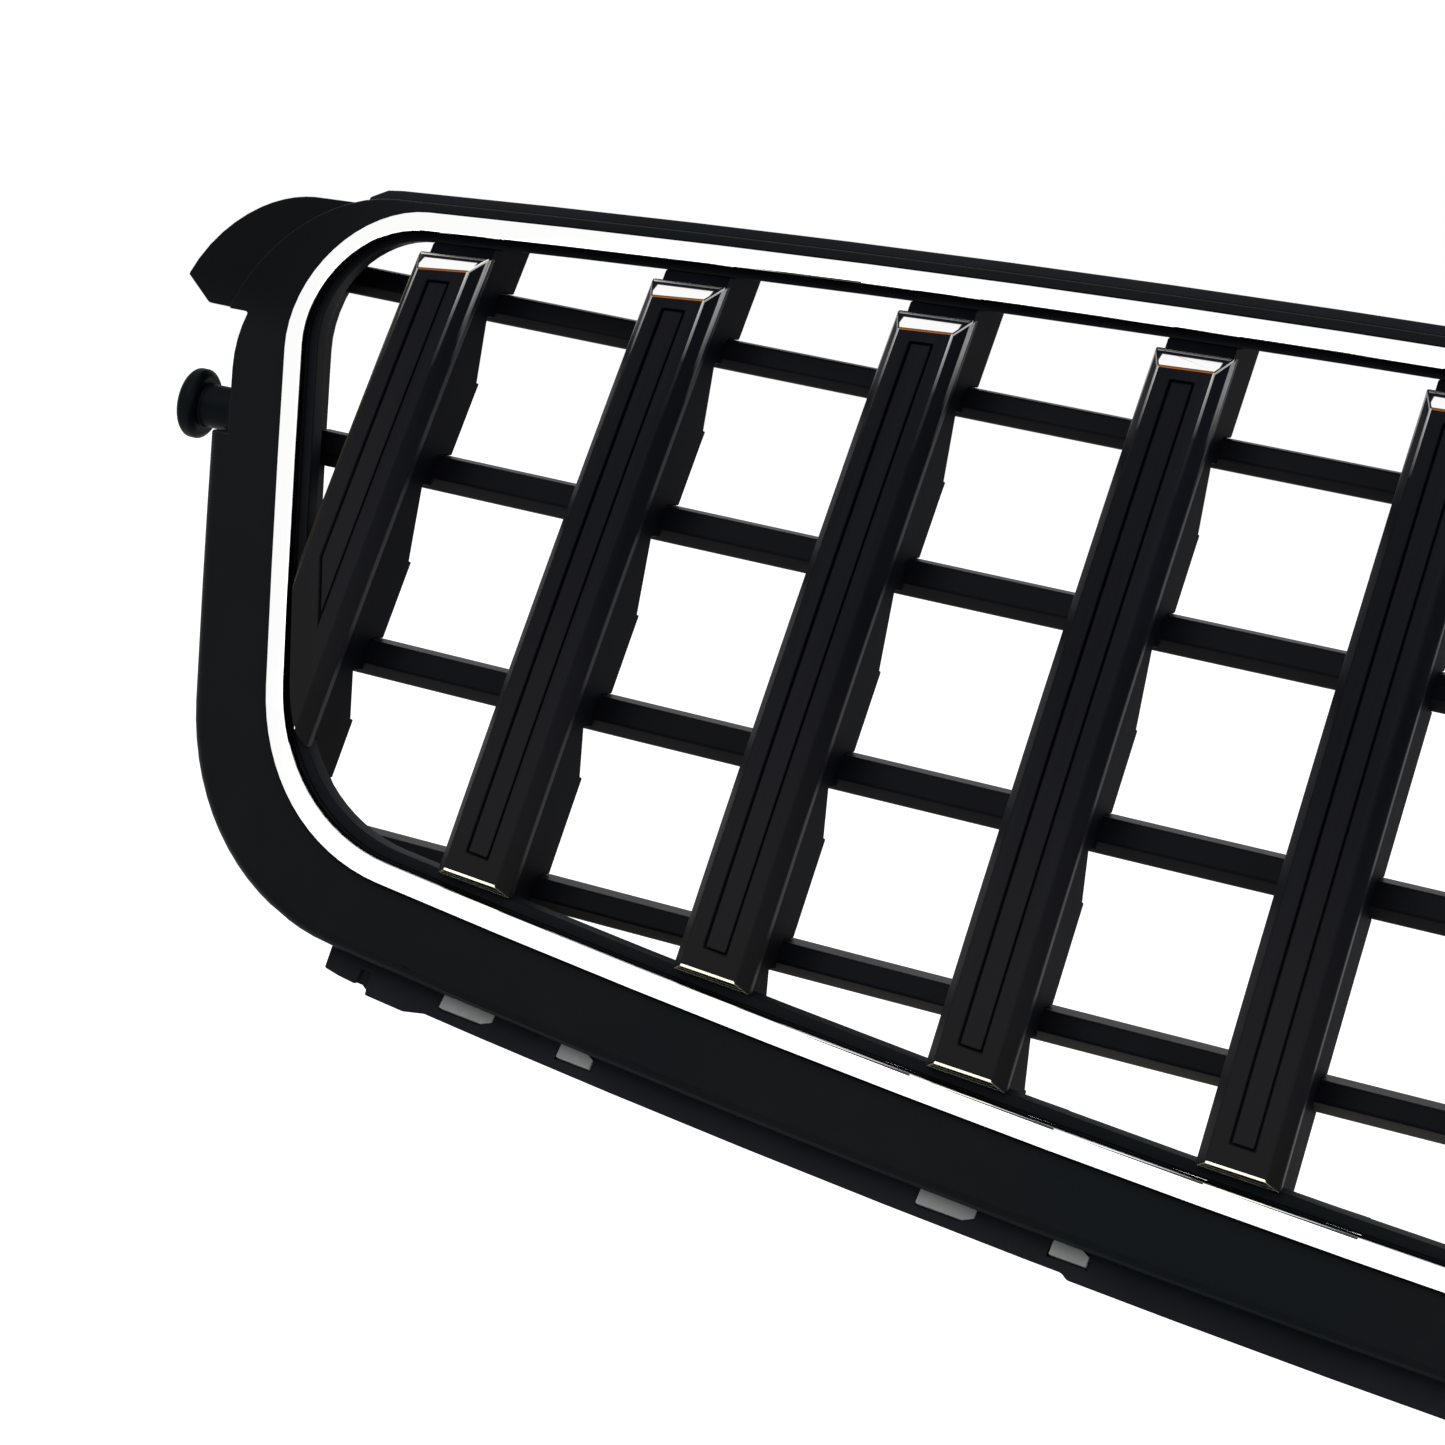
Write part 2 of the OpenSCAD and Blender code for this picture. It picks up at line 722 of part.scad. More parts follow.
// The ledge's shape seen from the front, stepped down along its middle
module ledge_shape() {
    difference() {
        lower_half() {
            intersection() {
                outline(lower_edge(lower_rail_drop + end_drop));
                both_sides() intersection() {
                    translate([-end_slot, -far]) square([end_foot, far]);
                    above_ledge(end_slot - end_foot, end_ramp);
                }
            }
            intersection() {
                outline(lower_edge(lower_rail_drop));
                square(2 * [lower_rail_half, far], center = true);
            }
            intersection() {
                outline(lower_edge(lower_rail_drop + lower_rail_step));
                square(2 * [lower_step_half, far], center = true);
                above_ledge(lower_step_half, -step_ramp);
                mirror([1, 0]) above_ledge(lower_step_half, -step_ramp);
            }
        }
        outline(lower_edge(0));
    }
}

// A place in the front of the ledge at x: y from its front surface, z up it from the slot's top
module on_ledge(x) {
    z = bottom_z(lower_edge(clip_leg), x);
    a = profile_angle(z);
    translate([x, face_y(x, z) + ledge_depth / cos(a), z]) rotate([-a, 0, 0])
        rotate([0, atan2(tan(bow_a(x)), cos(a)), 0]) children();
}

module at_ledge(x, w, from_y, to_y, from_z, to_z) {
    on_ledge(x) translate([-w / 2, from_y, from_z]) cube([w, to_y - from_y, to_z - from_z]);
}

module lower_rail() {
    color("#0d0e10") shift() difference() {
        intersection() {
            layer(ledge_depth, leg_depth - ledge_depth);
            through() ledge_shape();
        }
        intersection() {
            layer(ledge_depth + ledge_t, leg_depth);
            through() lower_half() band(lower_edge(lower_rail_t), lower_edge(2 * lower_rail_drop));
        }
        both_sides() for (c = clip_places)
            on_ledge(c[0]) translate([-c[1] / 2 - clip_play, -over, -clip_t - clip_play])
                cube([c[1] - c[2] + 2 * clip_play, ledge_t + 2 * over, clip_t + 2 * clip_play]);
        both_sides() at_ledge(-end_slot - end_slot_w / 2, end_slot_w, -over, end_slot_d,
            -lower_rail_drop, clip_leg - lower_rail_t - over / 2);
    }
}

// A sheet clip: a front leg up the ledge, a bend through its slot and a back leg that points down
module clip(x, w, low_cut, high_cut) {
    top = clip_leg - clip_top;
    h = w / 2;
    span = ledge_t + 2 * clip_play + clip_t;
    on_ledge(x) translate([0, -clip_play, 0]) {
        rotate([90, 0, 0]) linear_extrude(height = clip_t) polygon([
            [-h, -clip_t], [h - low_cut, -clip_t], [h, low_cut / 2 - clip_t],
            [h, top - high_cut / 2], [h - high_cut, top], [-h, top]]);
        translate([-h, -clip_t, -clip_t]) cube([w - low_cut, clip_t + span, clip_t]);
        translate([-h, span - clip_t, -clip_t - clip_back]) cube([w - low_cut, clip_t, clip_t + clip_back]);
    }
}

module clips() {
    for (c = clip_places) clip(c[0], c[1], c[2], c[3]);
}

module lower_clips_left() {
    color("#5f6061") shift() clips();
}

module lower_clips_right() {
    color("#5f6061") shift() mirror([1, 0, 0]) clips();
}

// ---------- pegs ----------

// A round-headed peg: a shank in the surround's boss, a neck and a head with softened edges
module side_peg() {
    head = peg_neck_l + peg_head_l;
    soft = peg_head_l / 4;
    translate([peg_x, peg_y, peg_z]) rotate([0, -90, 0]) rotate_extrude($fn = 90) polygon([
        [0, -boss_in], [peg_shank_r, -boss_in], [peg_shank_r, 0], [peg_neck_r, 0],
        [peg_neck_r, peg_neck_l], [peg_head_r - soft, peg_neck_l], [peg_head_r, peg_neck_l + soft],
        [peg_head_r, head - soft], [peg_head_r - soft, head], [0, head]]);
}

module side_peg_left() {
    color("#15171a") shift() side_peg();
}

module side_peg_right() {
    color("#15171a") shift() mirror([1, 0, 0]) side_peg();
}

// ---------- nodes ----------

outer_surround();
trim_ring();
inner_frame();
frame_screws();
upper_rail();
lower_rail();
lower_clips_left();
lower_clips_right();
side_peg_left();
side_peg_right();
for (j = [1:rung_count]) rung(j);
for (i = [1:bar_count]) {
    bar_fin(i);
    bar_cap(i);
    bar_strip(i);
}
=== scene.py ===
from math import asin, cos, radians, sin, tau

import bpy
from mathutils import Euler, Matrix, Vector


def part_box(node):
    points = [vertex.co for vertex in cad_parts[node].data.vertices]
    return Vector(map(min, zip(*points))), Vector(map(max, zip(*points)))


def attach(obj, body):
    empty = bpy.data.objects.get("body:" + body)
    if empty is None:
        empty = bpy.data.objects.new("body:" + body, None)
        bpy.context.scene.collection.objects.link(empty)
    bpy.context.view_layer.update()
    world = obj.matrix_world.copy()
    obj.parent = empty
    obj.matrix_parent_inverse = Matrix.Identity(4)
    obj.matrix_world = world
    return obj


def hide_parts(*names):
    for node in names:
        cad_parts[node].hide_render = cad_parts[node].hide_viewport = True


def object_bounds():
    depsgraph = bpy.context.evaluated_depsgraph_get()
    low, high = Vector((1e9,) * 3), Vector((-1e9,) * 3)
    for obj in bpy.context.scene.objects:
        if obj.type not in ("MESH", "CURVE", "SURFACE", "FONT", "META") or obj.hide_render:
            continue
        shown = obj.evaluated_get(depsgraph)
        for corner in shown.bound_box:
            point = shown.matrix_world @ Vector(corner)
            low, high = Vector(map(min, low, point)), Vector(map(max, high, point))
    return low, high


bl_info = {
    "name": "Front grille",
    "version": (1, 0, 0),
    "blender": (4, 5, 0),
    "location": "View3D > Sidebar > Grille",
    "description": "Builds the pieces of a car's front grille and the stage they are shown on",
    "category": "Object",
}

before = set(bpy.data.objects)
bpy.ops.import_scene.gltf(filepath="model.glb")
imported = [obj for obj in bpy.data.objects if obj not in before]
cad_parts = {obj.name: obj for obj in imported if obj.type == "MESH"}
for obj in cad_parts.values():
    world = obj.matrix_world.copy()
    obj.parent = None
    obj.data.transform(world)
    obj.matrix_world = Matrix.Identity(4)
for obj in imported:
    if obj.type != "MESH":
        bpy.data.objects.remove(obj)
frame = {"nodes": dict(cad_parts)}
cad_low, cad_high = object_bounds()

BAR_COUNT = 13
RUNG_COUNT = 4
PROFILE_RADIUS = 1.8
PROFILE_LEAN = radians(25.3)
FACE_MIDDLE = -0.0816392
MM = 0.001
CAMERA_PLACE = (0.04339, -0.82277, 0.00537)
CAMERA_TURN = (82.7005, -10.2316, 21.0189)


# ---------- settings ----------


class GrilleEdgeSettings(bpy.types.PropertyGroup):
    """Widths of the rounded edges."""

    surround: bpy.props.FloatProperty(
        name="Surround edges", description="Rounding of the outer surround's edges",
        default=0.5 * MM, min=0.0001, max=0.001, unit="LENGTH", precision=4)
    surround_roll: bpy.props.FloatProperty(
        name="Surround roll", description="Rounding of the outer surround's outer front edge",
        default=2.9 * MM, min=0.0005, max=0.0030, unit="LENGTH", precision=4)
    ring: bpy.props.FloatProperty(
        name="Ring edges", description="Rounding of the trim ring's edges",
        default=0.45 * MM, min=0.0001, max=0.001, unit="LENGTH", precision=4)
    frame: bpy.props.FloatProperty(
        name="Frame edges", description="Rounding of the inner frame's and the rails' edges",
        default=0.4 * MM, min=0.0001, max=0.0008, unit="LENGTH", precision=4)
    rung: bpy.props.FloatProperty(
        name="Rung edges", description="Rounding of the rungs' edges",
        default=0.5 * MM, min=0.0001, max=0.001, unit="LENGTH", precision=4)
    fin: bpy.props.FloatProperty(
        name="Fin edges", description="Rounding of the bar fins' edges",
        default=0.3 * MM, min=0.0001, max=0.0006, unit="LENGTH", precision=4)
    cap: bpy.props.FloatProperty(
        name="Cap edges", description="Rounding of the bar caps' plated edges",
        default=0.32 * MM, min=0.0001, max=0.0006, unit="LENGTH", precision=4)
    strip: bpy.props.FloatProperty(
        name="Strip edges", description="Rounding of the strips let into the caps",
        default=0.3 * MM, min=0.0001, max=0.0005, unit="LENGTH", precision=4)
    peg: bpy.props.FloatProperty(
        name="Peg edges", description="Rounding of the side pegs' edges",
        default=0.4 * MM, min=0.0001, max=0.0008, unit="LENGTH", precision=4)
    clip: bpy.props.FloatProperty(
        name="Clip edges", description="Rounding of the sheet clips' edges",
        default=0.15 * MM, min=0.00005, max=0.0003, unit="LENGTH", precision=5)
    screw: bpy.props.FloatProperty(
        name="Screw edges", description="Rounding of the screws' edges",
        default=0.3 * MM, min=0.0001, max=0.0006, unit="LENGTH", precision=4)


def colour_setting(name, description, default):
    return bpy.props.FloatVectorProperty(
        name=name, description=description, default=default, size=3, min=0, max=1, subtype="COLOR")


class GrilleColourSettings(bpy.types.PropertyGroup):
    """Colours of the finishes."""

    surround: colour_setting(
        "Surround black", "Moulded black of the outer surround", (0.0050, 0.0056, 0.0066))
    surround_tint: colour_setting(
        "Surround tint", "Cooler black that it drifts to", (0.0030, 0.0052, 0.0062))
    ear: colour_setting("Ear black", "Blue-green black of the ears", (0.0002, 0.0012, 0.0020))
    peg: colour_setting("Peg black", "Blue-green black of the side pegs", (0.0022, 0.0042, 0.0056))
    frame: colour_setting("Frame black", "Moulded black of the inner frame", (0.0062, 0.0066, 0.0088))
    rail: colour_setting("Rail black", "Worn moulded black of the two rails", (0.0130, 0.0138, 0.0172))
    rung: colour_setting("Rung black", "Moulded black of the rungs", (0.0042, 0.0046, 0.0068))
    # Painted light: the rungs' lower slopes are painted paler to stand for light from below, palest on the
    # lowest rung.
    rung_under: colour_setting(
        "Rung underside", "Paler black of the rungs' lower slopes", (0.0150, 0.0140, 0.0150))
    rung_foot: colour_setting(
        "Lowest rung's underside", "Pale grey of the lowest rung's lower slope", (0.100, 0.097, 0.085))
    fin: colour_setting("Fin black", "Moulded black of the bars' fins", (0.0030, 0.0034, 0.0052))
    foot_tint: colour_setting("Foot tint", "Olive cast low on the bars", (0.0120, 0.0095, 0.0050))
    # Painted reflection: olive reflection of the ring's side along the end caps' outward edges.
    olive_painted_reflection: colour_setting(
        "Olive cast", "Olive cast along the end bars' outward edges", (0.075, 0.072, 0.040))
    cap: colour_setting("Cap black", "Dark gloss of the bar caps", (0.0032, 0.0035, 0.0056))
    cap_low: colour_setting("Cap foot black", "Paler black low on the bar caps", (0.0125, 0.0125, 0.0145))
    strip: colour_setting("Strip black", "Dark strip let into each cap", (0.0036, 0.0038, 0.0058))
    # The ring's real plating; the same colour also paints the highlights and reflections on the caps' edges
    # and facets.
    plating: colour_setting("Plating", "Bright plating of the ring and the caps' edges", (0.97, 0.97, 0.965))
    # Warm tone of the painted highlight line along the lower edge of each cap's top facet.
    fringe: colour_setting("Plating fringe", "Warm tone where the plating ends", (0.22, 0.075, 0.018))
    steel: colour_setting("Clip grey", "Coated sheet steel of the clips", (0.300, 0.312, 0.305))
    zinc: colour_setting("Screw zinc", "Zinc plating of the screws", (0.42, 0.43, 0.44))
    floor: colour_setting("Floor", "Plain pale floor", (0.8, 0.8, 0.8))


class GrilleStageSettings(bpy.types.PropertyGroup):
    """The floor, the lamps and the camera."""

    floor_drop: bpy.props.FloatProperty(
        name="Floor drop", description="Distance of the floor below the grille",
        default=0.26, min=0, max=1, unit="LENGTH")
    key_power: bpy.props.FloatProperty(
        name="Key lamp", description="Power of the large soft lamp above the front",
        default=11, min=0, max=100, unit="POWER")
    fill_power: bpy.props.FloatProperty(
        name="Fill lamp", description="Power of the soft lamp at the side",
        default=5, min=0, max=100, unit="POWER")
    room_light: bpy.props.FloatProperty(
        name="Room light", description="Brightness of the room on matt surfaces",
        default=0.5, min=0, max=1)
    lens: bpy.props.FloatProperty(
        name="Lens", description="Focal length of the camera in millimetres",
        default=106.18, min=20, max=300)


# ---------- shader nodes ----------


class Value:
    """A shader value that can be used in an expression."""

    def __init__(self, finish, socket):
        self.finish = finish
        self.socket = socket

    def maths(self, operation, *values, clamp=False):
        settings = {"operation": operation, "use_clamp": clamp}
        return self.finish.value("ShaderNodeMath", settings, dict(enumerate(values)))

    def __add__(self, other):
        return self.maths("ADD", self, other)

    def __radd__(self, other):
        return self.maths("ADD", other, self)

    def __sub__(self, other):
        return self.maths("SUBTRACT", self, other)

    def __rsub__(self, other):
        return self.maths("SUBTRACT", other, self)

    def __mul__(self, other):
        return self.maths("MULTIPLY", self, other)

    def __rmul__(self, other):
        return self.maths("MULTIPLY", other, self)

    def larger(self, other):
        return self.maths("MAXIMUM", self, other)

    def step(self, low, high):
        """0 below low, 1 above high and smooth between them."""
        settings = {"interpolation_type": "SMOOTHSTEP"}
        return self.finish.value(
            "ShaderNodeMapRange", settings, {"Value": self, "From Min": low, "From Max": high})


class Finish:
    """A node tree under construction, for a material or the world."""

    def __init__(self, owner):
        self.owner = owner
        owner.use_nodes = True
        self.tree = owner.node_tree
        self.tree.nodes.clear()

    def node(self, kind, settings=None, inputs=None):
        """Adds a node: its settings first, then its sockets' values or links."""
        node = self.tree.nodes.new(kind)
        for key, setting in (settings or {}).items():
            if key == "stops":
                elements = node.color_ramp.elements
                while len(elements) < len(setting):
                    elements.new(0.5)
                for element, (position, colour) in zip(elements, setting):
                    element.position = position
                    element.color = (*colour, 1)
            else:
                setattr(node, key, setting)
        for key, value in (inputs or {}).items():
            socket = node.inputs[key]
            if isinstance(value, Value):
                self.tree.links.new(value.socket, socket)
            else:
                socket.default_value = value
        return node

    def value(self, kind, settings=None, inputs=None, output=0):
        return Value(self, self.node(kind, settings, inputs).outputs[output])

    def mix(self, share, first, second, blend="MIX"):
        """A colour between two, by a share from 0 to 1."""
        first = first if isinstance(first, Value) else (*first, 1)
        second = second if isinstance(second, Value) else (*second, 1)
        settings = {"data_type": "RGBA", "blend_type": blend}
        return self.value("ShaderNodeMix", settings, {0: share, 6: first, 7: second}, output=2)

    def place(self, stretch=(1, 1, 1)):
        """Object coordinates, stretched along the axes."""
        place = self.value("ShaderNodeTexCoord", output="Object")
        return self.value("ShaderNodeMapping", {}, {"Vector": place, "Scale": stretch})

    def noise(self, scale, detail=3.0, roughness=0.5, stretch=(1, 1, 1)):
        inputs = {"Vector": self.place(stretch), "Scale": scale, "Detail": detail, "Roughness": roughness}
        return self.value("ShaderNodeTexNoise", {}, inputs)

    def attribute(self, name):
        return self.value("ShaderNodeAttribute", {"attribute_name": name}, output="Fac")

    def normal_part(self, axis):
        """One part of the surface's normal."""
        normal = self.value("ShaderNodeNewGeometry", output="Normal")
        return self.value("ShaderNodeSeparateXYZ", {}, {0: normal}, output=axis)

    def height(self, axis="Z"):
        place = self.value("ShaderNodeTexCoord", output="Object")
        return self.value("ShaderNodeSeparateXYZ", {}, {0: place}, output=axis)

    def bump(self, height, strength, distance, normal=None):
        inputs = {"Height": height, "Strength": strength, "Distance": distance}
        if normal:
            inputs["Normal"] = normal
        return self.value("ShaderNodeBump", {}, inputs)

    def looked_at(self):
        """1 where the camera looks, also by way of a mirror or glass, and 0 for light on matt surfaces."""
        path = self.node("ShaderNodeLightPath")
        seen = Value(self, path.outputs["Is Camera Ray"])
        for ray in ("Is Glossy Ray", "Is Transmission Ray"):
            seen = seen.larger(Value(self, path.outputs[ray]))
        return seen

    def flat_paint(self, colour, **sockets):
        """A surface with no gloss at all."""
        sockets = {"Base Color": colour, "Roughness": 1.0, "Specular IOR Level": 0.0, **sockets}
        return self.value("ShaderNodeBsdfPrincipled", {}, sockets)

    def surface(self, matt=0.0, **sockets):
        """The finished surface; matt is the share of it that has no gloss at all."""
        names = {"colour": "Base Color", "rough": "Roughness", "metal": "Metallic", "normal": "Normal",
                 "gloss": "Specular IOR Level", "bend": "IOR", "coat": "Coat Weight",
                 "coat_rough": "Coat Roughness"}
        inputs = {names[key]: value for key, value in sockets.items()}
        shader = self.value("ShaderNodeBsdfPrincipled", {}, inputs)
        if matt:
            dull = self.flat_paint(sockets["colour"], Normal=sockets["normal"])
            shader = self.value("ShaderNodeMixShader", {}, {0: matt, 1: shader, 2: dull})
        self.node("ShaderNodeOutputMaterial", {}, {"Surface": shader})
        return self.owner


def new_finish(name):
    return Finish(bpy.data.materials.new(name))


def moulded_plastic(name, colour, tint, grain, rough, gloss, warm_foot=None, under=None, ear=None, matt=0.0):
    """Moulded plastic: a fine grain, a slow drift of tone and faint rub marks."""
    finish = new_finish(name)
    drift = finish.noise(9.0, 2.0).step(0.38, 0.66)
    base = finish.mix(drift, colour, tint)
    cloud = finish.noise(55.0, 4.0, 0.6)
    base = finish.mix(0.35 * cloud.step(0.45, 0.75), base, [1.5 * part for part in colour])
    # Painted light from below: downward-facing faces drift to the paler underside colour.
    if under:
        base = finish.mix((0 - finish.normal_part("Z")).step(0.25, 0.8) * 0.8, base, under)
    if ear:
        across = finish.height("X")
        ear_start, ear_full = 322 * MM, 352 * MM
        ear_low, ear_high = FACE_MIDDLE + 36 * MM, FACE_MIDDLE + 50 * MM
        outward = across.maths("ABSOLUTE", across).step(ear_start, ear_full)
        above = finish.height().step(ear_low, ear_high)
        base = finish.mix(0.9 * outward * above, base, ear)
    if warm_foot:
        near = 1 - finish.attribute("from_foot").step(2 * MM, 26 * MM)
        streak = finish.noise(220.0, 3.0, 0.6, (1, 1, 0.2)).step(0.35, 0.75)
        base = finish.mix(near * (0.12 + 0.3 * streak), base, warm_foot)
    texture = finish.noise(grain, 2.0, 0.65)
    rub = finish.noise(140.0, 5.0, 0.7, (0.25, 1, 1)).step(0.55, 0.8)
    rough_here = rough + 0.10 * cloud - 0.06 * rub
    return finish.surface(
        colour=base, rough=rough_here, gloss=gloss, bend=1.25, matt=matt,
        normal=finish.bump(texture, 0.22, 0.03 * MM))


def bright_plating(name, colour):
    """Bright plating over plastic: a mirror with a very slight ripple and a few dulled patches."""
    finish = new_finish(name)
    dull = finish.noise(35.0, 4.0, 0.6).step(0.5, 0.8)
    base = finish.mix(0.25 * dull, colour, [0.94 * part for part in colour])
    ripple = finish.noise(120.0, 2.0)
    return finish.surface(
        colour=base, metal=1.0, rough=0.05 + 0.05 * dull, normal=finish.bump(ripple, 0.05, 0.05 * MM))


def cap_finish(name, colours):
    """Dark gloss front with fine lines along it, and painted highlights and reflections, drawn as plating,
    on the bevels and facets near the ends.
    """
    finish = new_finish(name)
    warm = finish.attribute("warm")
    across = finish.attribute("across")
    from_top = finish.attribute("from_top")
    from_foot = finish.attribute("from_foot")
    side = across.maths("ABSOLUTE", across)
    # Painted highlights: pale lines on the side bevels that fade out down from the top, and the top and foot
    # facets painted as bright reflections.
    rim_start, rim_full, rim_length = 7.2 * MM, 7.36 * MM, 20 * MM
    on_bevel = finish.attribute("side_bevel") * side.step(rim_start, rim_full)
    side_rim = on_bevel * (1 - from_top.step(0.0, rim_length)) * 0.55
    top_rim = 0.9 * (1 - from_top.step(0.5 * MM, 0.66 * MM))
    white = from_top.step(1.15 * MM, 1.35 * MM) * (1 - side.step(5.7 * MM, 5.95 * MM))
    top_facet = finish.attribute("facet") * top_rim.larger(white)
    end_rim = 0.8 * (1 - from_foot.step(0.36 * MM, 0.48 * MM))
    foot_facet = finish.attribute("foot_facet") * end_rim.larger(from_foot.step(0.85 * MM, 1.05 * MM))
    painted_highlight = finish.attribute("lines").larger(top_facet).larger(foot_facet).larger(side_rim)
    streak = finish.noise(260.0, 4.0, 0.6, (1, 0.03, 0.03))
    cloud = finish.noise(40.0, 3.0, 0.6)
    base = finish.mix(streak.step(0.35, 0.75), colours.cap, [1.8 * part for part in colours.cap])
    low = 1 - from_foot.step(10 * MM, 85 * MM)
    base = finish.mix(0.8 * low, base, colours.cap_low)
    near_foot = 1 - from_foot.step(1 * MM, 20 * MM)
    base = finish.mix(0.3 * near_foot, base, colours.foot_tint)
    # Painted olive reflection along the end bars' outward edges, fading out down from the top.
    cast = finish.attribute("outward").step(6.2 * MM, 6.8 * MM) * (1 - from_top.step(8 * MM, 105 * MM))
    base = finish.mix(cast * (0.5 + 0.5 * cloud), base, colours.olive_painted_reflection)
    # Colour of the painted highlights: the plating colour, yellowish at the foot and warm along the top
    # facet's lower edge.
    bright = finish.mix(0.25 * cloud, colours.plating, [0.9 * part for part in colours.plating])
    bright = finish.mix(1 - from_foot.step(2 * MM, 6 * MM), bright, (0.93, 0.90, 0.72))
    bright = finish.mix(warm, bright, colours.fringe)
    base = finish.mix(painted_highlight, base, bright)
    ridge_pitch = 0.95 * MM
    ridge = side.maths("SINE", side * (tau / ridge_pitch))
    on_front = side.step(2.9 * MM, 3.1 * MM) * (1 - side.step(5.0 * MM, 5.2 * MM))
    on_front = on_front * from_foot.step(1.8 * MM, 2.4 * MM) * from_top.step(3.6 * MM, 4.4 * MM)
    relief = ridge * on_front * (1 - painted_highlight) + 0.3 * streak
    return finish.surface(
        colour=base, metal=painted_highlight, rough=0.36 + 0.12 * cloud - 0.3 * painted_highlight, gloss=0.12, bend=1.25,
        normal=finish.bump(relief, 0.35, 0.05 * MM))


def strip_finish(name, colours):
    """The let-in strip: dark, brushed along its length."""
    finish = new_finish(name)
    streak = finish.noise(420.0, 4.0, 0.65, (1, 0.02, 0.02))
    base = finish.mix(streak.step(0.3, 0.8), colours.strip, [1.7 * part for part in colours.strip])
    low = 1 - finish.attribute("from_foot").step(8 * MM, 80 * MM)
    base = finish.mix(0.85 * low, base, colours.cap_low)
    return finish.surface(
        colour=base, rough=0.4 + 0.1 * streak, gloss=0.12, bend=1.25,
        normal=finish.bump(streak, 0.3, 0.03 * MM))


def coated_steel(name, colour):
    """Sheet steel with a flat grey coat, rubbed a little at random."""
    finish = new_finish(name)
    cloud = finish.noise(160.0, 4.0, 0.65)
    rub = finish.noise(620.0, 3.0, 0.7, (0.4, 1, 1)).step(0.6, 0.85)
    base = finish.mix(cloud.step(0.35, 0.7), colour, [0.86 * part for part in colour])
    base = finish.mix(0.35 * rub, base, [1.5 * part for part in colour])
    return finish.surface(
        colour=base, metal=0.0, rough=0.55 + 0.15 * cloud, gloss=0.3,
        normal=finish.bump(cloud, 0.2, 0.02 * MM))


def zinc_plating(name, colour):
    """Zinc plate with its faint crystal mottling."""
    finish = new_finish(name)
    inputs = {"Vector": finish.place(), "Scale": 900.0}
    crystal = finish.value("ShaderNodeTexVoronoi", {}, inputs)
    cloud = finish.noise(300.0, 3.0)
    base = finish.mix(cloud.step(0.3, 0.7), colour, (0.50, 0.47, 0.40))
    return finish.surface(
        colour=base, metal=1.0, rough=0.28 + 0.2 * cloud, normal=finish.bump(crystal, 0.1, 0.02 * MM))


def finish_named(name, maker, *values, **more):
    """The material of that name, made the first time it is asked for."""
    return bpy.data.materials.get(name) or maker(name, *values, **more)


# ---------- shaping ----------


def only(piece):
    """Selects one object and nothing else."""
    bpy.ops.object.select_all(action="DESELECT")
    piece.select_set(True)
    bpy.context.view_layer.objects.active = piece


def edit_mode(kind="FACE"):
    bpy.ops.object.mode_set(mode="EDIT")
    bpy.ops.mesh.select_mode(type=kind)


def object_mode():
    bpy.ops.object.mode_set(mode="OBJECT")


def merged_copy(node, name):
    """A copy of a CAD node with its own mesh, its triangles joined into faces."""
    if node not in frame["nodes"]:
        raise RuntimeError("the packed model has no node " + node)
    piece = bpy.data.objects.new(name, frame["nodes"][node].data.copy())
    piece.data.name = name
    bpy.context.scene.collection.objects.link(piece)
    piece.data.materials.clear()
    only(piece)
    bpy.ops.mesh.customdata_custom_splitnormals_clear()
    edit_mode("VERT")
    bpy.ops.mesh.select_all(action="SELECT")
    bpy.ops.mesh.remove_doubles(threshold=0.000005)
    bpy.ops.mesh.dissolve_limited(angle_limit=radians(0.2))
    object_mode()
    return piece


def apply_modifier(piece, kind, **settings):
    only(piece)
    modifier = piece.modifiers.new(kind.lower(), kind)
    for key, value in settings.items():
        setattr(modifier, key, value)
    bpy.ops.object.modifier_apply(modifier=modifier.name)


def round_edges(piece, width, angle=28, segments=2):
    """Rounds the edges sharper than an angle; the faces it adds take material slot 1 if there is one."""
    apply_modifier(
        piece, "BEVEL", width=width, segments=segments, limit_method="ANGLE",
        angle_limit=radians(angle), use_clamp_overlap=False, material=1)


def smooth(piece, angle=42):
    only(piece)
    bpy.ops.object.shade_smooth_by_angle(angle=radians(angle))
    apply_modifier(piece, "WEIGHTED_NORMAL", keep_sharp=True, weight=60)


def use_finishes(piece, *materials):
    for material in materials:
        piece.data.materials.append(material)


def stand_for(piece, node):
    """Puts the piece in the grille in place of a CAD node."""
    bpy.ops.object.select_all(action="DESELECT")
    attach(piece, "root")
    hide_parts(node)


def plain_piece(node, name, edge, material, angle=28, segments=2):
    piece = merged_copy(node, name)
    use_finishes(piece, material, material)
    round_edges(piece, edge, angle, segments)
    smooth(piece)
    stand_for(piece, node)
    return piece


# ---------- bars ----------


def face_angle(height):
    """Lean of the face at a height."""
    return asin((height - FACE_MIDDLE + PROFILE_RADIUS * sin(PROFILE_LEAN)) / PROFILE_RADIUS)


def bar_axes(height):
    """Directions up along a bar and out from its front, at a height."""
    angle = face_angle(height)
    return Vector((0, sin(angle), cos(angle))), Vector((0, -cos(angle), sin(angle)))


def add_attribute(piece, name, domain, values):
    layer = piece.data.attributes.new(name, "FLOAT", domain)
    layer.data.foreach_set("value", values)


def end_line(node, upper):
    """Height of a bar's end at its middle, and how it rises from left to right."""
    low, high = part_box(node)
    middle, half = (low.x + high.x) / 2, (high.x - low.x) / 2
    pick = max if upper else min
    heights = []
    for side in (-1, 1):
        heights.append(pick(
            vertex.co.z for vertex in frame["nodes"][node].data.vertices
            if (vertex.co.x - middle) * side > 0.9 * half))
    return (heights[0] + heights[1]) / 2, (heights[1] - heights[0]) / (2 * half), middle


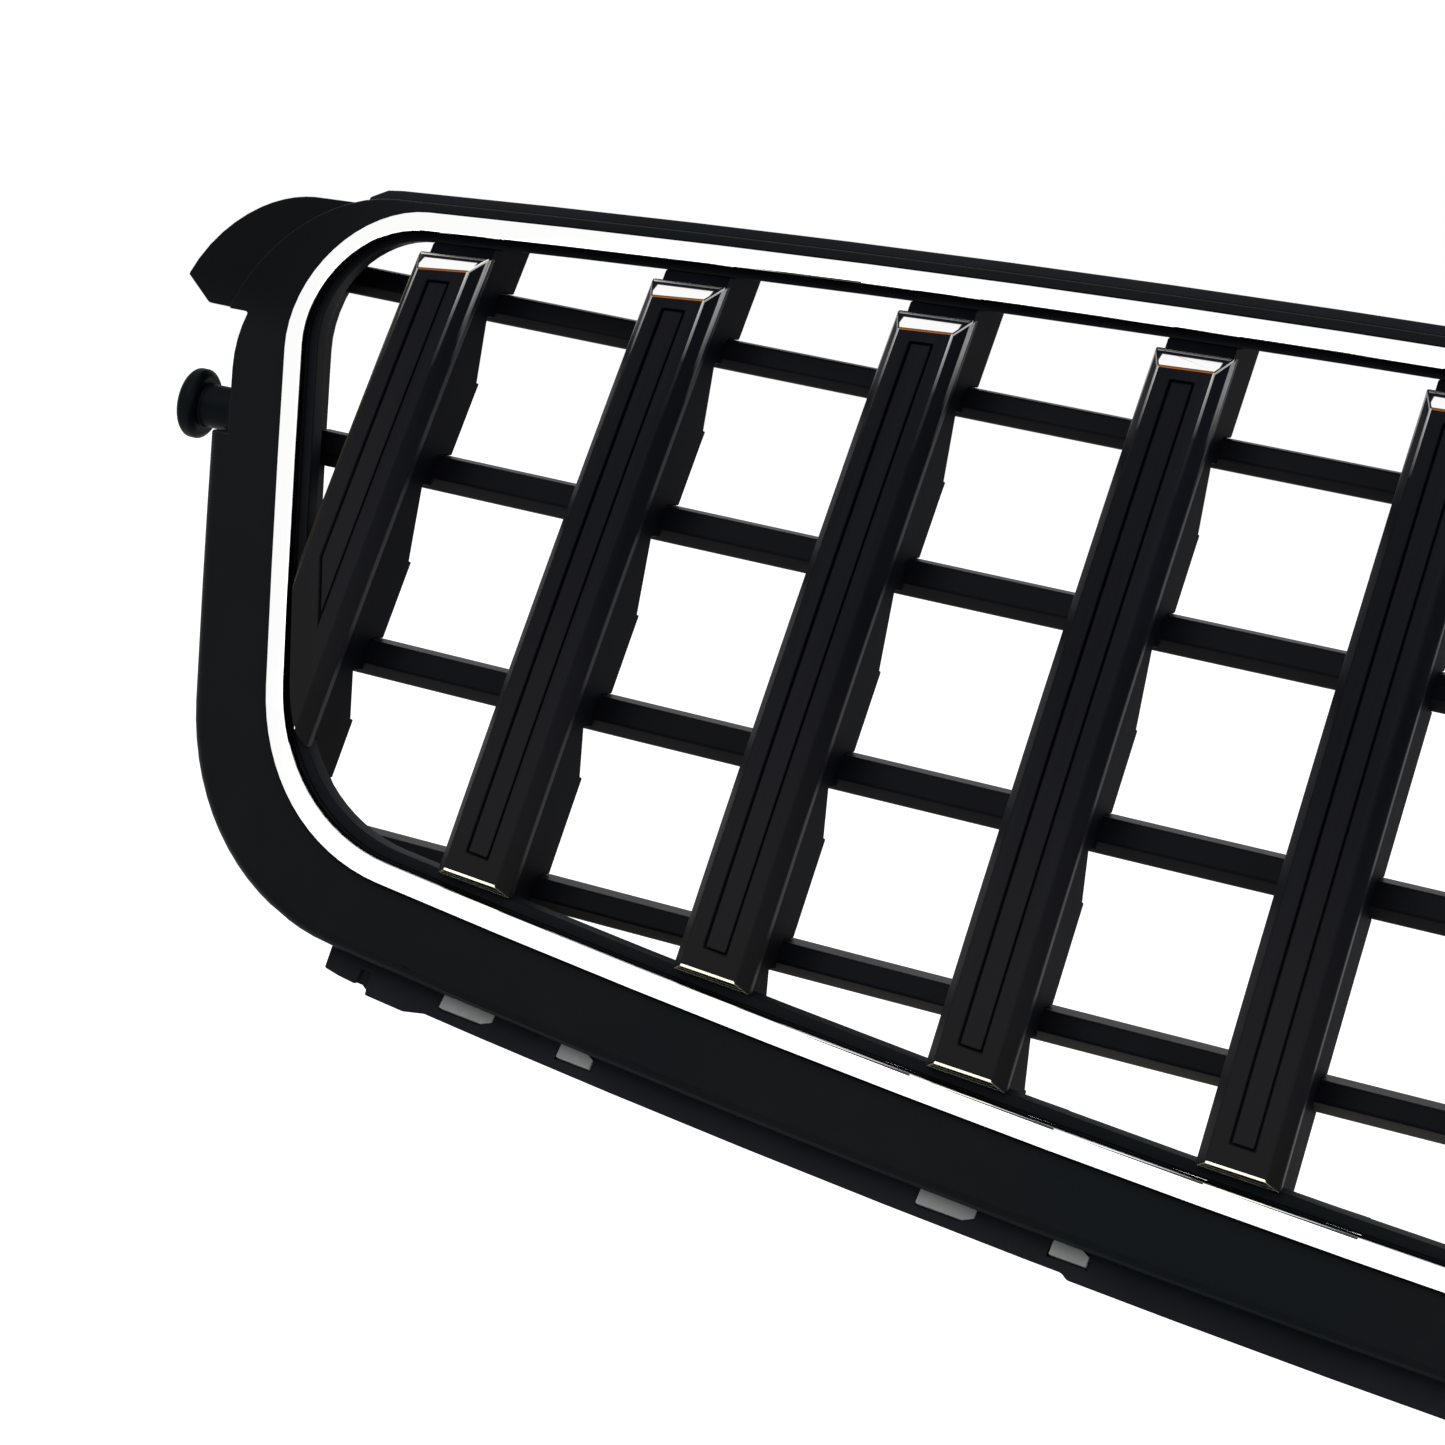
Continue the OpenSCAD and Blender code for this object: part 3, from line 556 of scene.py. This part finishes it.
def measure_bar(piece, node):
    """Stores each point's distance from the bar's ends and from its middle line."""
    top, top_rise, middle = end_line(node, True)
    foot, foot_rise, middle = end_line(node, False)
    slope = cos(face_angle((top + foot) / 2))
    from_top, from_foot, across = [], [], []
    for vertex in piece.data.vertices:
        offset = vertex.co.x - middle
        across.append(offset)
        from_top.append((top + top_rise * offset - vertex.co.z) / slope)
        from_foot.append((vertex.co.z - foot - foot_rise * offset) / slope)
    add_attribute(piece, "from_top", "POINT", from_top)
    add_attribute(piece, "from_foot", "POINT", from_foot)
    add_attribute(piece, "across", "POINT", across)
    return from_top, from_foot, across


def mark_cap_painted_highlights(piece, node, outward):
    """Stores where a cap's painted highlights and reflections, drawn as plating, show, and how far outward
    each point of the cap lies.
    """
    from_top, from_foot, across = measure_bar(piece, node)
    lines, facet, foot_facet, side_bevel, warm = [], [], [], [], []
    # The side bevels' painted highlight lines fade out over this distance from the top.
    fade = 18 * MM
    for face in piece.data.polygons:
        up = bar_axes(face.center.z)[0]
        rise = face.normal.dot(up)
        rounded = face.material_index == 1
        crosswise = abs(rise) > 0.8 * abs(face.normal.x)
        slanting = min(abs(rise), abs(face.normal.x)) > 0.22
        top = min(from_top[v] for v in face.vertices)
        reach = max(from_top[v] for v in face.vertices)
        foot = min(from_foot[v] for v in face.vertices)
        centre = sum(across[v] for v in face.vertices) / len(face.vertices)
        front_line = rounded and crosswise and not slanting and 2 * MM < top < 4.6 * MM
        end_mark = rounded and crosswise and (top < 2 * MM or foot < 3 * MM)
        for v in face.vertices:
            value = 0.0
            if front_line:
                value = 0.9
            elif end_mark and not (slanting and foot > 3 * MM and reach > 1 * MM):
                value = 0.75 if foot < 0.7 * MM else 1.0
            elif rounded and not crosswise and abs(centre) > 3.4 * MM and not slanting:
                value = 0.6 * max(0.0, 1 - from_top[v] / fade) ** 1.3
            lines.append(value)
            warm.append(1.0 if front_line else 0.0)
            facet.append(1.0 if not rounded and crosswise and rise > 0.3 and top < 4 * MM else 0.0)
            foot_facet.append(1.0 if not rounded and crosswise and rise < -0.25 and foot < 3 * MM else 0.0)
            side_bevel.append(1.0 if not rounded and 0.3 < abs(face.normal.x) < 0.95 else 0.0)
    for name, values in (("lines", lines), ("facet", facet), ("foot_facet", foot_facet),
                         ("side_bevel", side_bevel), ("warm", warm)):
        add_attribute(piece, name, "CORNER", values)
    add_attribute(piece, "outward", "POINT", [outward * part for part in across])


# ---------- operators ----------


class GrilleOperator:
    bl_options = {"REGISTER", "UNDO"}

    def execute(self, context):
        scene = context.scene
        self.build(scene.grille_edges, scene.grille_colours, scene.grille_stage)
        return {"FINISHED"}


class GRILLE_OT_surround(GrilleOperator, bpy.types.Operator):
    """Build the outer surround with its ears and screw bosses"""

    bl_idname = "grille.surround"
    bl_label = "Outer surround"

    def build(self, edges, colours, stage):
        material = finish_named(
            "satin_surround_black", moulded_plastic, colours.surround, colours.surround_tint,
            1500.0, 0.42, 0.12, ear=colours.ear)
        piece = merged_copy("outer_surround", "outer_surround_moulding")
        use_finishes(piece, material, material)
        self.roll_outer_edge(piece, edges.surround_roll)
        round_edges(piece, edges.surround)
        smooth(piece)
        stand_for(piece, "outer_surround")

    def roll_outer_edge(self, piece, width):
        """Rounds the surround's outer front edge more broadly than its other edges."""
        mesh = piece.data
        centre = (cad_low + cad_high) / 2
        ear_start, seam_middle, seam_rise = 310 * MM, -45 * MM, 0.3
        beside = {}
        for face in mesh.polygons:
            for key in face.edge_keys:
                beside.setdefault(key, []).append(face)
        weights = []
        for edge in mesh.edges:
            faces = beside.get(tuple(sorted(edge.vertices)), [])
            middle = (mesh.vertices[edge.vertices[0]].co + mesh.vertices[edge.vertices[1]].co) / 2
            out = bar_axes(middle.z)[1]
            weight = 0.0
            if len(faces) == 2 and middle.z < FACE_MIDDLE + 15 * MM:
                first, second = sorted(faces, key=lambda face: -face.normal.dot(out))
                away = middle - centre
                away.y = 0
                faces_front = first.normal.dot(out) > 0.9
                faces_outward = second.normal.dot(out) < 0.3 and second.normal.dot(away) > 0
                if faces_front and faces_outward:
                    ahead = abs(away.x) > ear_start or away.z < seam_middle + seam_rise * abs(away.x)
                    weight = 1.0 if ahead else 0.0
            weights.append(weight)
        if not any(weights):
            raise RuntimeError("the surround's outer edge wasn't found")
        add_attribute(piece, "bevel_weight_edge", "EDGE", weights)
        apply_modifier(
            piece, "BEVEL", width=width, segments=4, limit_method="WEIGHT", use_clamp_overlap=False)
        mesh.attributes.remove(mesh.attributes["bevel_weight_edge"])


class GRILLE_OT_trim_ring(GrilleOperator, bpy.types.Operator):
    """Build the bright trim ring"""

    bl_idname = "grille.trim_ring"
    bl_label = "Trim ring"

    def build(self, edges, colours, stage):
        plating = finish_named("bright_ring_plating", bright_plating, colours.plating)
        # Painted dark reflection: the ring's side walls get a near-black plating that stands for the
        # reflected black lip beside them.
        wall = finish_named("dull_ring_wall", bright_plating, (0.030, 0.028, 0.026))
        piece = merged_copy("trim_ring", "trim_ring_plated")
        use_finishes(piece, plating, plating, wall)
        round_edges(piece, edges.ring, segments=3)
        for face in piece.data.polygons:
            out = bar_axes(face.center.z)[1]
            if face.normal.dot(out) < 0.45:
                face.material_index = 2
        smooth(piece)
        stand_for(piece, "trim_ring")


class GRILLE_OT_inner_frame(GrilleOperator, bpy.types.Operator):
    """Build the inner frame with its lip and screw tabs"""

    bl_idname = "grille.inner_frame"
    bl_label = "Inner frame"

    def build(self, edges, colours, stage):
        material = finish_named(
            "satin_frame_black", moulded_plastic, colours.frame, colours.surround_tint, 1500.0, 0.46, 0.1)
        plain_piece("inner_frame", "inner_frame_moulding", edges.frame, material)


class GRILLE_OT_rails(GrilleOperator, bpy.types.Operator):
    """Build the upper rail with its fixing tabs and the lower rail with its ledge"""

    bl_idname = "grille.rails"
    bl_label = "Rails"

    def build(self, edges, colours, stage):
        material = finish_named(
            "grained_rail_black", moulded_plastic, colours.rail, [0.7 * part for part in colours.rail],
            1100.0, 0.5, 0.1)
        for node in ("upper_rail", "lower_rail"):
            plain_piece(node, node + "_moulding", edges.frame, material)


class GRILLE_OT_rungs(GrilleOperator, bpy.types.Operator):
    """Build the four cross rungs"""

    bl_idname = "grille.rungs"
    bl_label = "Rungs"

    def build(self, edges, colours, stage):
        material = finish_named(
            "satin_rung_black", moulded_plastic, colours.rung, [0.7 * part for part in colours.rung],
            1500.0, 0.4, 0.12, under=colours.rung_under)
        # The lowest rung gets the palest painted underside light.
        lowest = finish_named(
            "worn_rung_black", moulded_plastic, colours.rung, [0.7 * part for part in colours.rung],
            1500.0, 0.4, 0.12, under=colours.rung_foot)
        for number in range(1, RUNG_COUNT + 1):
            node = "rung_%d" % number
            if number == RUNG_COUNT:
                material = lowest
            plain_piece(node, node + "_moulding", edges.rung, material, segments=3)


class GRILLE_OT_bar_fins(GrilleOperator, bpy.types.Operator):
    """Build the fins that carry the bar caps"""

    bl_idname = "grille.bar_fins"
    bl_label = "Bar fins"

    def build(self, edges, colours, stage):
        material = finish_named(
            "satin_fin_black", moulded_plastic, colours.fin, [1.6 * part for part in colours.fin],
            1500.0, 0.5, 0.08, warm_foot=colours.foot_tint, matt=0.5)
        for number in range(1, BAR_COUNT + 1):
            node = "bar_fin_%d" % number
            piece = plain_piece(node, node + "_moulding", edges.fin, material)
            measure_bar(piece, node)


class GRILLE_OT_bar_caps(GrilleOperator, bpy.types.Operator):
    """Build the bevelled caps with painted highlights drawn as plated edges"""

    bl_idname = "grille.bar_caps"
    bl_label = "Bar caps"

    def build(self, edges, colours, stage):
        material = finish_named("cap_black_and_plating", cap_finish, colours)
        for number in range(1, BAR_COUNT + 1):
            node = "bar_cap_%d" % number
            # The caps' bright edges and facets are painted highlights in the plating colour, not real
            # plating.
            piece = merged_copy(node, node + "_plated")
            use_finishes(piece, material, material)
            round_edges(piece, edges.cap, angle=24)
            mark_cap_painted_highlights(piece, node, {1: -1, BAR_COUNT: 1}.get(number, 0))
            smooth(piece)
            stand_for(piece, node)


class GRILLE_OT_bar_strips(GrilleOperator, bpy.types.Operator):
    """Build the strips let into the caps"""

    bl_idname = "grille.bar_strips"
    bl_label = "Bar strips"

    def build(self, edges, colours, stage):
        material = finish_named("brushed_strip_black", strip_finish, colours)
        for number in range(1, BAR_COUNT + 1):
            node = "bar_strip_%d" % number
            piece = plain_piece(node, node + "_inlay", edges.strip, material)
            measure_bar(piece, node)


class GRILLE_OT_pegs(GrilleOperator, bpy.types.Operator):
    """Build the round-headed side pegs"""

    bl_idname = "grille.pegs"
    bl_label = "Side pegs"

    def build(self, edges, colours, stage):
        material = finish_named(
            "satin_peg_black", moulded_plastic, colours.peg, [0.6 * part for part in colours.peg],
            1300.0, 0.36, 0.2, matt=0.35)
        for side in ("left", "right"):
            node = "side_peg_" + side
            piece = merged_copy(node, node + "_moulding")
            use_finishes(piece, material, material)
            outward = -1 if side == "left" else 1
            self.dish_head(piece, outward)
            round_edges(piece, edges.peg)
            smooth(piece)
            stand_for(piece, node)

    def dish_head(self, piece, outward):
        """Sinks a shallow dish into the end of the head."""
        for face in piece.data.polygons:
            face.select = False
        for edge in piece.data.edges:
            edge.select = False
        for vertex in piece.data.vertices:
            vertex.select = False
        end = max(vertex.co.x * outward for vertex in piece.data.vertices)
        found = 0
        for face in piece.data.polygons:
            if face.normal.x * outward > 0.99 and abs(face.center.x * outward - end) < 0.1 * MM:
                face.select = True
                found += 1
        if not found:
            raise RuntimeError("no end face on " + piece.name)
        edit_mode()
        bpy.ops.mesh.inset(thickness=2.2 * MM)
        bpy.ops.mesh.inset(thickness=0.5 * MM, depth=-0.7 * MM)
        object_mode()


class GRILLE_OT_clips(GrilleOperator, bpy.types.Operator):
    """Build the sheet clips on the lower rail's ledge"""

    bl_idname = "grille.clips"
    bl_label = "Lower clips"

    def build(self, edges, colours, stage):
        material = finish_named("coated_clip_steel", coated_steel, colours.steel)
        for node in ("lower_clips_left", "lower_clips_right"):
            plain_piece(node, node + "_sheet", edges.clip, material)


class GRILLE_OT_screws(GrilleOperator, bpy.types.Operator):
    """Build the screws that hold the inner frame to the surround"""

    bl_idname = "grille.screws"
    bl_label = "Frame screws"

    def build(self, edges, colours, stage):
        material = finish_named("zinc_screw_plating", zinc_plating, colours.zinc)
        piece = merged_copy("frame_screws", "frame_screws_zinc")
        use_finishes(piece, material, material)
        for face in piece.data.polygons:
            reaches = [(piece.data.vertices[v].co - face.center).length for v in face.vertices]
            wide = sum(reaches) / len(reaches)
            face.select = len(face.vertices) > 30 and face.normal.y > 0.99 and wide > 3 * MM
        heads = [face.index for face in piece.data.polygons if face.select]
        if not heads:
            raise RuntimeError("no screw heads found")
        edit_mode()
        bpy.ops.mesh.inset(thickness=1.5 * MM, use_individual=True)
        bpy.ops.mesh.inset(thickness=0.15 * MM, depth=-1.1 * MM, use_individual=True)
        object_mode()
        round_edges(piece, edges.screw)
        smooth(piece)
        stand_for(piece, "frame_screws")


def lamp(name, place, aim, size, power):
    bpy.ops.object.light_add(type="AREA", location=place)
    made = bpy.context.active_object
    made.name = name
    made.rotation_euler = (Vector(aim) - Vector(place)).to_track_quat("-Z", "Y").to_euler()
    made.data.shape = "SQUARE"
    made.data.size = size
    made.data.energy = power
    made.visible_camera = False
    return made


class GRILLE_OT_stage(GrilleOperator, bpy.types.Operator):
    """Build the floor, the room, the lamps and the camera"""

    bl_idname = "grille.stage"
    bl_label = "Stage"

    def build(self, edges, colours, stage):
        self.lay_floor(colours, stage)
        self.light_room(stage)
        centre = (cad_low + cad_high) / 2
        lamp("key_lamp", (-0.5, -1.3, 1.1), centre, 1.6, stage.key_power)
        lamp("fill_lamp", (1.3, -0.9, 0.3), centre, 1.2, stage.fill_power)
        bpy.ops.object.camera_add(
            location=CAMERA_PLACE, rotation=Euler([radians(turn) for turn in CAMERA_TURN]))
        camera = bpy.context.active_object
        camera.name = "grille_camera"
        camera.data.lens = stage.lens
        camera.data.sensor_width = 36
        camera.data.clip_start = 0.01
        bpy.context.scene.camera = camera
        bpy.context.scene.view_settings.view_transform = "Standard"

    def lay_floor(self, colours, stage):
        bpy.ops.object.select_all(action="DESELECT")
        bpy.ops.mesh.primitive_plane_add(size=12, location=(0, 0, cad_low.z - stage.floor_drop))
        floor = bpy.context.active_object
        floor.name = "pale_floor"
        bpy.ops.object.transform_apply(location=True)
        finish = new_finish("pale_floor_paint")
        seen = finish.looked_at()
        patch = finish.noise(2.0, 2.0)
        paint = finish.mix(0.3 * patch, colours.floor, [0.96 * part for part in colours.floor])
        matt = finish.flat_paint(paint)
        glow = finish.value("ShaderNodeEmission", {}, {"Color": (1, 1, 1, 1), "Strength": seen * 0.8})
        both = finish.value("ShaderNodeAddShader", {}, {0: matt, 1: glow})
        finish.node("ShaderNodeOutputMaterial", {}, {"Surface": both})
        floor.data.materials.append(finish.owner)

    def light_room(self, stage):
        world = bpy.data.worlds.new("white_room")
        bpy.context.scene.world = world
        finish = Finish(world)
        seen = finish.looked_at()
        strength = stage.room_light + (1 - stage.room_light) * seen
        air = finish.value("ShaderNodeBackground", {}, {"Color": (1, 1, 1, 1), "Strength": strength})
        finish.node("ShaderNodeOutputWorld", {}, {"Surface": air})


# ---------- panel ----------


PIECE_OPERATORS = (
    GRILLE_OT_surround,
    GRILLE_OT_trim_ring,
    GRILLE_OT_inner_frame,
    GRILLE_OT_rails,
    GRILLE_OT_rungs,
    GRILLE_OT_bar_fins,
    GRILLE_OT_bar_caps,
    GRILLE_OT_bar_strips,
    GRILLE_OT_pegs,
    GRILLE_OT_clips,
    GRILLE_OT_screws,
    GRILLE_OT_stage,
)
SETTINGS = (GrilleEdgeSettings, GrilleColourSettings, GrilleStageSettings)


class GRILLE_PT_panel(bpy.types.Panel):
    """Sizes, colours and the building steps of the grille"""

    bl_idname = "GRILLE_PT_panel"
    bl_label = "Front grille"
    bl_space_type = "VIEW_3D"
    bl_region_type = "UI"
    bl_category = "Grille"

    def draw(self, context):
        scene = context.scene
        for settings in (scene.grille_edges, scene.grille_colours, scene.grille_stage):
            box = self.layout.box()
            for key in settings.bl_rna.properties.keys():
                if key not in ("rna_type", "name"):
                    box.prop(settings, key)
        for operator in PIECE_OPERATORS:
            self.layout.operator(operator.bl_idname)


def register():
    for settings in SETTINGS:
        bpy.utils.register_class(settings)
    bpy.types.Scene.grille_edges = bpy.props.PointerProperty(type=GrilleEdgeSettings)
    bpy.types.Scene.grille_colours = bpy.props.PointerProperty(type=GrilleColourSettings)
    bpy.types.Scene.grille_stage = bpy.props.PointerProperty(type=GrilleStageSettings)
    for operator in PIECE_OPERATORS:
        bpy.utils.register_class(operator)
    bpy.utils.register_class(GRILLE_PT_panel)


def unregister():
    bpy.utils.unregister_class(GRILLE_PT_panel)
    for operator in reversed(PIECE_OPERATORS):
        bpy.utils.unregister_class(operator)
    del bpy.types.Scene.grille_stage
    del bpy.types.Scene.grille_colours
    del bpy.types.Scene.grille_edges
    for settings in reversed(SETTINGS):
        bpy.utils.unregister_class(settings)


def main():
    register()
    bpy.ops.grille.surround()
    bpy.ops.grille.trim_ring()
    bpy.ops.grille.inner_frame()
    bpy.ops.grille.rails()
    bpy.ops.grille.rungs()
    bpy.ops.grille.bar_fins()
    bpy.ops.grille.bar_caps()
    bpy.ops.grille.bar_strips()
    bpy.ops.grille.pegs()
    bpy.ops.grille.clips()
    bpy.ops.grille.screws()
    bpy.ops.grille.stage()


if __name__ == "__main__":
    main()
